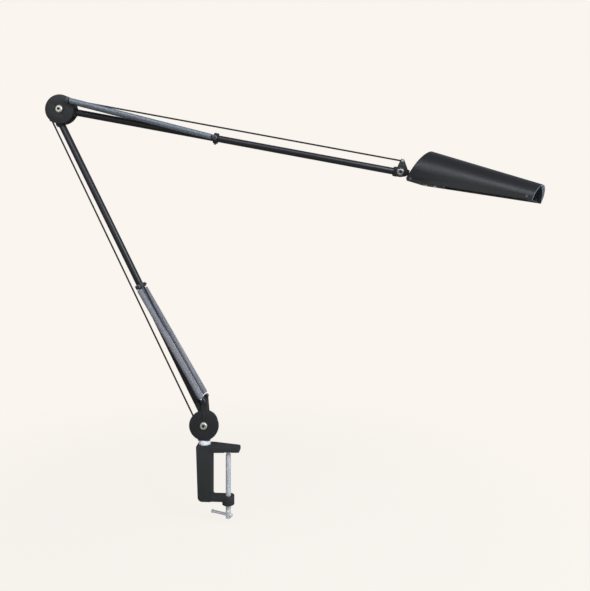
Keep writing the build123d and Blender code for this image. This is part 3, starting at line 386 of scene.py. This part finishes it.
def make_spring(node, first, second, wire, joint, material):
    """A close-wound tension spring drawn in four lengths; the shares of the arm's turn at its cuts are
    worked out but not used.
    """
    y = middle(node).y
    start = Vector((first.x, y, first.z))
    end = Vector((second.x, y, second.z))
    length = (end - start).length
    along = (end - start) / length
    up = Vector((0, 1, 0)).cross(along) * -1
    hand = -1 if y < 0 else 1
    route = spring_points(length, wire, hand)
    rings = wire_rings([start + along * p.x + Vector((0, p.y, 0)) + up * p.z for p in route], wire / 2)
    angles = [radians(angle) for angle in JOINTS[joint]["range_deg"]]
    knots = [HOOK_REACH, *SPRING_KNOTS, length - HOOK_REACH]
    shares = [straight_share(start, end, joint_point(joint), knot, angles) for knot in knots]
    shares[0], shares[-1] = 0, 1
    cuts = [0]
    for knot in SPRING_KNOTS:
        cuts.append(next(i for i, p in enumerate(route) if i > cuts[-1] and p.x > max(knot, HOOK_RUN)))
    cuts.append(len(rings) - 1)
    for k in range(len(knots) - 1):
        piece = wire_piece(f"{node}_coil_{k + 1}", rings[cuts[k]:cuts[k + 1] + 1])
        piece.data.materials.append(material)
        smooth_by_angle(piece.data, 60)
        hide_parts(node)
        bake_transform(piece)


# ---- staging ------------------------------------------------------------------------------------

BACKGROUND = (0.956, 0.913, 0.863)
FLOOR_DROP = 12 * MM
PAPER_SHARE = 0.09          # how much of the floor's own light, and so of the shadow, shows
PAPER_NEAR = 0.25
PAPER_FAR = 0.75
MIRRORED_FLOOR = 0.2        # how bright the floor looks in polished parts
PAPER = (0.82, 0.79, 0.75)
FLOOR_HALF = 6.0
ROOM_LIGHT = (0.86, 0.9, 1.0)
ROOM_STRENGTH = 0.2


def backdrop_material():
    """A pale surface that shows one colour to the camera and keeps a faint shadow round the lamp."""
    material = bpy.data.materials.new("pale paper")
    material.use_nodes = True
    tree = material.node_tree
    tree.nodes.clear()
    leave = add_node(tree, "ShaderNodeOutputMaterial", (900, 0))
    seen = add_node(tree, "ShaderNodeMixShader", (700, 0))
    glossy = add_node(tree, "ShaderNodeMixShader", (500, -150))
    page = add_node(tree, "ShaderNodeMixShader", (300, 150))
    paper = add_node(tree, "ShaderNodeBsdfDiffuse", (0, -100))
    paper.inputs["Color"].default_value = (*PAPER, 1)
    glow = add_node(tree, "ShaderNodeEmission", (0, 100))
    glow.inputs["Color"].default_value = (*BACKGROUND, 1)
    dim = add_node(tree, "ShaderNodeEmission", (0, -300))
    dim.inputs["Color"].default_value = (*[MIRRORED_FLOOR * c for c in BACKGROUND], 1)
    place = add_node(tree, "ShaderNodeTexCoord", (-700, 300))
    reach = add_node(tree, "ShaderNodeVectorMath", (-500, 300), operation="LENGTH")
    share = add_node(tree, "ShaderNodeMapRange", (-300, 300), interpolation_type="SMOOTHSTEP")
    share.inputs["From Min"].default_value = PAPER_NEAR
    share.inputs["From Max"].default_value = PAPER_FAR
    share.inputs["To Min"].default_value = 1 - PAPER_SHARE
    share.inputs["To Max"].default_value = 1.0
    path = add_node(tree, "ShaderNodeLightPath", (0, 400))
    clear = add_node(tree, "ShaderNodeMath", (300, 400), operation="MAXIMUM")
    link = tree.links.new
    link(place.outputs["Object"], reach.inputs[0])
    link(reach.outputs["Value"], share.inputs["Value"])
    link(share.outputs["Result"], page.inputs["Fac"])
    link(paper.outputs["BSDF"], page.inputs[1])
    link(glow.outputs["Emission"], page.inputs[2])
    link(path.outputs["Is Glossy Ray"], glossy.inputs["Fac"])
    link(paper.outputs["BSDF"], glossy.inputs[1])
    link(dim.outputs["Emission"], glossy.inputs[2])
    link(path.outputs["Is Camera Ray"], clear.inputs[0])
    link(path.outputs["Is Transmission Ray"], clear.inputs[1])
    link(clear.outputs["Value"], seen.inputs["Fac"])
    link(glossy.outputs["Shader"], seen.inputs[1])
    link(page.outputs["Shader"], seen.inputs[2])
    link(seen.outputs["Shader"], leave.inputs["Surface"])
    return material


def make_floor():
    low = cad_box[0]
    mesh = bpy.data.meshes.new("floor")
    z = low[2] - FLOOR_DROP
    corners = [(x * FLOOR_HALF, y * FLOOR_HALF, z) for x, y in ((-1, -1), (1, -1), (1, 1), (-1, 1))]
    mesh.from_pydata(corners, [], [(0, 1, 2, 3)])
    floor = new_object("floor", mesh)
    mesh.materials.append(backdrop_material())


def make_world():
    world = bpy.data.worlds.new("studio")
    bpy.context.scene.world = world
    world.use_nodes = True
    tree = world.node_tree
    tree.nodes.clear()
    leave = add_node(tree, "ShaderNodeOutputWorld", (500, 0))
    mix = add_node(tree, "ShaderNodeMixShader", (300, 0))
    room = add_node(tree, "ShaderNodeBackground", (0, -100))
    room.inputs["Color"].default_value = (*ROOM_LIGHT, 1)
    room.inputs["Strength"].default_value = ROOM_STRENGTH
    seen = add_node(tree, "ShaderNodeBackground", (0, 100))
    seen.inputs["Color"].default_value = (*BACKGROUND, 1)
    path = add_node(tree, "ShaderNodeLightPath", (-300, 200))
    link = tree.links.new
    link(path.outputs["Is Camera Ray"], mix.inputs["Fac"])
    link(room.outputs["Background"], mix.inputs[1])
    link(seen.outputs["Background"], mix.inputs[2])
    link(mix.outputs["Shader"], leave.inputs["Surface"])


# name, place, aim, size, power, colour
LIGHTS = (
    ("window", (1.35, -1.1, 1.25), (0.05, 0, 0.3), (1.0, 1.0), 26, (0.86, 0.92, 1.0)),
    ("overhead", (-0.1, -1.1, 1.5), (0.1, 0, 0.35), (2.0, 0.45), 14, (0.88, 0.93, 1.0)),
    ("front fill", (-0.9, -1.6, 0.7), (0, 0, 0.3), (1.2, 1.2), 3, (1.0, 0.97, 0.93)),
    ("side rim", (1.5, -0.15, 0.3), (0.0, 0, 0.15), (0.5, 1.0), 7, (0.68, 0.84, 1.0)),
    ("back rim", (0.2, 1.5, 1.3), (0, 0, 0.3), (1.6, 0.6), 1, (0.92, 0.95, 1.0)),
)


def make_lights():
    for name, place, aim, size, power, colour in LIGHTS:
        data = bpy.data.lights.new(name, "AREA")
        data.shape = "RECTANGLE"
        data.size, data.size_y = size
        data.energy = power
        data.color = colour
        light = bpy.data.objects.new(name, data)
        light.location = place
        light.rotation_euler = (Vector(aim) - Vector(place)).to_track_quat("-Z", "Y").to_euler()
        bpy.context.scene.collection.objects.link(light)


# ---- the lamp -----------------------------------------------------------------------------------

# node, body, finish, slot, rounding of its edges in mm
DRESSED = (
    ("clamp_frame", "clamp", CASTING, "black_enamel", 0.7),
    ("post_bushing", "clamp", PALE_PLASTIC, "pale_plastic", 0.5),
    ("clamp_tip", "screw_tip", CHROME, "plated_steel", 0.3),
    ("tommy_bar", "bar", CHROME, "plated_steel", 0.3),
    ("base_bracket", "base", PLATE, "black_enamel", 0.4),
    ("base_pivot_bolt", "base", BRIGHT, "plated_steel", 0.15),
    ("base_pivot_nut", "base", DARK_STEEL, "rod_steel", 0.3),
    ("base_spring_studs", "base", DARK_STEEL, "rod_steel", 0.2),
    ("base_link_pin", "base", DARK_STEEL, "rod_steel", 0.0),
    ("lower_arm_tube", "lower_arm", TUBE, "tube_enamel", 0.2),
    ("lower_arm_foot", "lower_arm", PLATE, "black_enamel", 0.3),
    ("lower_arm_head", "lower_arm", PLATE, "black_enamel", 0.3),
    ("lower_spring_collar", "lower_arm", PLATE, "black_enamel", 0.3),
    ("lower_collar_screw", "lower_arm", DARK_STEEL, "rod_steel", 0.2),
    ("lower_collar_studs", "lower_arm", DARK_STEEL, "rod_steel", 0.2),
    ("lower_link_rod", "lower_link", ROD, "rod_steel", 0.2),
    ("elbow_front_disc", "elbow", PLATE, "black_enamel", 0.5),
    ("elbow_rear_disc", "elbow", PLATE, "black_enamel", 0.5),
    ("elbow_bolt", "elbow", BRIGHT, "plated_steel", 0.15),
    ("elbow_nut", "elbow", DARK_STEEL, "rod_steel", 0.3),
    ("elbow_arm_pin", "elbow", DARK_STEEL, "rod_steel", 0.0),
    ("elbow_link_pins", "elbow", DARK_STEEL, "rod_steel", 0.0),
    ("elbow_spring_studs", "elbow", DARK_STEEL, "rod_steel", 0.2),
    ("upper_arm_tube", "upper_arm", TUBE, "tube_enamel", 0.2),
    ("upper_arm_foot", "upper_arm", PLATE, "black_enamel", 0.3),
    ("upper_arm_head", "upper_arm", PLATE, "black_enamel", 0.3),
    ("upper_spring_collar", "upper_arm", PLATE, "black_enamel", 0.3),
    ("upper_collar_screw", "upper_arm", DARK_STEEL, "rod_steel", 0.2),
    ("upper_collar_studs", "upper_arm", DARK_STEEL, "rod_steel", 0.2),
    ("upper_link_rod", "upper_link", ROD, "rod_steel", 0.2),
    ("head_bracket", "bracket", PLATE, "black_enamel", 0.4),
    ("head_link_pin", "bracket", BRIGHT, "plated_steel", 0.2),
    ("head_bolt", "bracket", DULL, "plated_steel", 0.15),
    ("head_nut", "bracket", DARK_STEEL, "rod_steel", 0.3),
    ("head_knuckle", "knuckle", PLATE, "black_enamel", 0.3),
    ("shade_tray", "head", TRAY, "shade_enamel", 0.0),
    ("shade_rivets", "head", RIVET, "plated_steel", 0.2),
    ("swivel_bracket", "head", TRAY, "shade_enamel", 0.3),
    ("swivel_pin", "head", CHROME, "plated_steel", 0.2),
    ("foot_screws", "head", CHROME, "plated_steel", 0.2),
    ("lamp_holder", "head", WHITE_PLASTIC, "white_plastic", 0.4),
    ("lamp_cap", "head", WHITE_PLASTIC, "white_plastic", 0.4),
    ("lamp_tubes", "head", LAMP_GLASS, "lamp_glass", 0.0),
)

SOCKETED = ("base_pivot_bolt", "elbow_bolt", "head_bolt")
SOCKET_REACH = 2.45 * MM
SOCKET_START = 0.1 * MM
SOCKET_END = 2.5 * MM


def dress_nodes():
    for node, body, material, slot, edge in DRESSED:
        piece = from_node(node, node + "_form", edge)
        settle(piece, material, body, (node,))
        # paints shade into the sockets of the three pivot bolts
        if node in SOCKETED:
            paint_socket_shade(piece, SOCKET_REACH)


def ring(name, centre, way, inner, outer, thick, edge, segments=48):
    """A flat ring with eased edges, standing on its centre and rising along the way."""
    profile = (
        (0, inner), (thick - edge, inner), (thick, inner + edge), (thick, outer - edge),
        (thick - edge * 0.3, outer - edge * 0.3), (thick - edge, outer), (0, outer),
    )
    side = way.orthogonal().normalized()
    up = way.cross(side)
    bm = bmesh.new()
    loops = []
    for k in range(segments):
        a = 2 * pi * k / segments
        out = side * cos(a) + up * sin(a)
        loops.append([bm.verts.new(centre + way * along + out * radius) for along, radius in profile])
    count = len(profile)
    for first, second in zip(loops, loops[1:] + loops[:1]):
        for k in range(count):
            n = (k + 1) % count
            bm.faces.new((first[k], first[n], second[n], second[k]))
    bmesh.ops.recalc_face_normals(bm, faces=bm.faces)
    mesh = bpy.data.meshes.new(name)
    bm.to_mesh(mesh)
    bm.free()
    return new_object(name, mesh)


def paint_socket_shade(piece, reach):
    """Paints shade into a bolt head's socket: the faces of its recess get a dark colour."""
    corners = [vert.co for vert in piece.data.vertices]
    x = (min(c.x for c in corners) + max(c.x for c in corners)) / 2
    z = (min(c.z for c in corners) + max(c.z for c in corners)) / 2
    front = min(c.y for c in corners)
    piece.data.materials.append(PAINTED_SOCKET_SHADE)
    for face in piece.data.polygons:
        place = face.center
        within = hypot(place.x - x, place.z - z) < reach
        if within and front + SOCKET_START < place.y < front + SOCKET_END:
            face.material_index = 1


WASHER_INNER = 5.42 * MM
WASHER_OUTER = 6.5 * MM
WASHER_THICK = 0.7 * MM
WASHER_EDGE = 0.2 * MM
BOLT_HEAD_HEIGHT = 3.0 * MM
TO_FRONT = Vector((0, -1, 0))


def make_washers():
    """The dark washers that frame the three pivot bolts' heads."""
    for name, node, body in (("base", "base_pivot_bolt", "base"), ("elbow", "elbow_bolt", "elbow"),
                             ("head", "head_bolt", "bracket")):
        low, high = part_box(node)
        centre = Vector(((low.x + high.x) / 2, low.y + BOLT_HEAD_HEIGHT, (low.z + high.z) / 2))
        washer = ring(name + "_washer", centre, TO_FRONT, WASHER_INNER, WASHER_OUTER,
                      WASHER_THICK, WASHER_EDGE)
        settle(washer, WASHER, body)


THREAD_PITCH = 1.25 * MM
THREAD_CORE = 3.15 * MM
THREAD_CREST = 3.8 * MM
THREAD_STEPS = 28
THREAD_ROOT = THREAD_CORE - 0.05 * MM
THREAD_RUNOUT = 0.8 * MM
PLAIN_END = 11 * MM             # the screw's plain end, which holds the tommy bar
SHOULDER = 0.65 * MM            # the length over which it narrows to the thread's core
CORE_START = 0.3 * MM           # corners above this are drawn in to the core
THREAD_SECTION = (              # radius, and rise as a share of the pitch
    (THREAD_ROOT, -0.46), (THREAD_CREST, -0.09), (THREAD_CREST, 0.09), (THREAD_ROOT, 0.46),
)


def make_clamp_screw():
    """The clamp screw with its thread cut for real above the tommy bar's hole."""
    node = "clamp_screw"
    piece = from_node(node, node + "_form", 0)
    low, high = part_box(node)
    x, y = (low.x + high.x) / 2, (low.y + high.y) / 2
    foot = low.z + PLAIN_END
    bm = bmesh.new()
    bm.from_mesh(piece.data)
    for height in (foot, foot + SHOULDER):
        everything = list(bm.verts) + list(bm.edges) + list(bm.faces)
        bmesh.ops.bisect_plane(bm, geom=everything, plane_co=(0, 0, height), plane_no=(0, 0, 1))
    for vert in bm.verts:
        radius = hypot(vert.co.x - x, vert.co.y - y)
        if vert.co.z > foot + CORE_START and radius > THREAD_CORE:
            share = THREAD_CORE / radius
            vert.co.x = x + (vert.co.x - x) * share
            vert.co.y = y + (vert.co.y - y) * share
    start, end = foot + THREAD_RUNOUT, high.z - THREAD_RUNOUT
    steps = int((end - start) / THREAD_PITCH * THREAD_STEPS)
    rings = []
    for k in range(steps + 1):
        a = 2 * pi * k / THREAD_STEPS
        z = start + THREAD_PITCH * k / THREAD_STEPS
        fade = min(1, k / THREAD_STEPS, (steps - k) / THREAD_STEPS)
        loop = []
        for radius, rise in THREAD_SECTION:
            r = THREAD_ROOT + (radius - THREAD_ROOT) * fade
            loop.append(bm.verts.new((x + r * cos(a), y + r * sin(a), z + rise * THREAD_PITCH)))
        rings.append(loop)
    for first, second in zip(rings, rings[1:]):
        for k in range(3):
            bm.faces.new((first[k], second[k], second[k + 1], first[k + 1]))
    bm.to_mesh(piece.data)
    bm.free()
    settle(piece, CHROME, "screw", (node,), smooth_angle=28)


HIGHLIGHT_STRIP_DEPTH = 5 * MM              # the painted highlight just inside the shade's open end
EDGE_HIGHLIGHT_REACH = 45 * MM             # how far back from that end a cut edge gets the painted highlight
HEART_DROP = 8 * MM             # from the shell's middle to a point inside the shade
SIDEWAYS = 0.6                  # a face turned less than this towards the end is a wall
ENDWAYS = 0.35                  # and one turned more than this is a cut edge


def make_shade():
    """The shade's shell, with eased rims, a dark inside and a painted highlight just inside its open end
    and on the cut edges near it.
    """
    node = "shade_shell"
    piece = from_node(node, node + "_form", 0.22, angle=40)
    settle(piece, SHADE, "head", (node,), smooth_angle=40)
    mesh = piece.data
    low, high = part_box(node)
    heart = (low + high) / 2 - SWIVEL_AXIS * HEART_DROP
    lamp_low, lamp_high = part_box("lamp_tubes")
    run = (lamp_high + lamp_low) / 2 - SWIVEL
    run = (run - SWIVEL_AXIS * run.dot(SWIVEL_AXIS)).normalized()
    bm = bmesh.new()
    bm.from_mesh(mesh)
    end = max(vert.co.dot(run) for vert in bm.verts)
    everything = list(bm.verts) + list(bm.edges) + list(bm.faces)
    bmesh.ops.bisect_plane(bm, geom=everything, plane_co=run * (end - HIGHLIGHT_STRIP_DEPTH), plane_no=run)
    bm.to_mesh(mesh)
    bm.free()
    mesh.materials.append(SHADE_INSIDE)
    mesh.materials.append(SHADE_PAINTED_HIGHLIGHT)
    for face in mesh.polygons:
        arm = face.center - heart
        arm = arm - run * arm.dot(run)
        near_end = face.center.dot(run) > end - HIGHLIGHT_STRIP_DEPTH
        facing = face.normal.dot(run)
        # material 1 is the inside's own dark enamel; material 2 is the painted highlight near the open
        # end and on the cut edges there
        if abs(facing) < SIDEWAYS and face.normal.dot(arm) < 0:
            face.material_index = 2 if near_end else 1
        elif facing > ENDWAYS and face.center.dot(run) > end - EDGE_HIGHLIGHT_REACH:
            face.material_index = 2


def make_springs():
    for side in ("front", "rear"):
        make_spring(f"lower_spring_{side}", middle("base_spring_studs"), middle("lower_collar_studs"),
                    LOWER_WIRE, "lower_arm_tilt", LOWER_SPRING)
        make_spring(f"upper_spring_{side}", middle("elbow_spring_studs"), middle("upper_collar_studs"),
                    UPPER_WIRE, "upper_arm_tilt", SPRING)


make_camera()
make_world()
make_lights()
make_floor()
dress_nodes()
make_clamp_screw()
make_shade()
make_washers()
make_springs()

bpy.context.scene.view_settings.view_transform = "Standard"
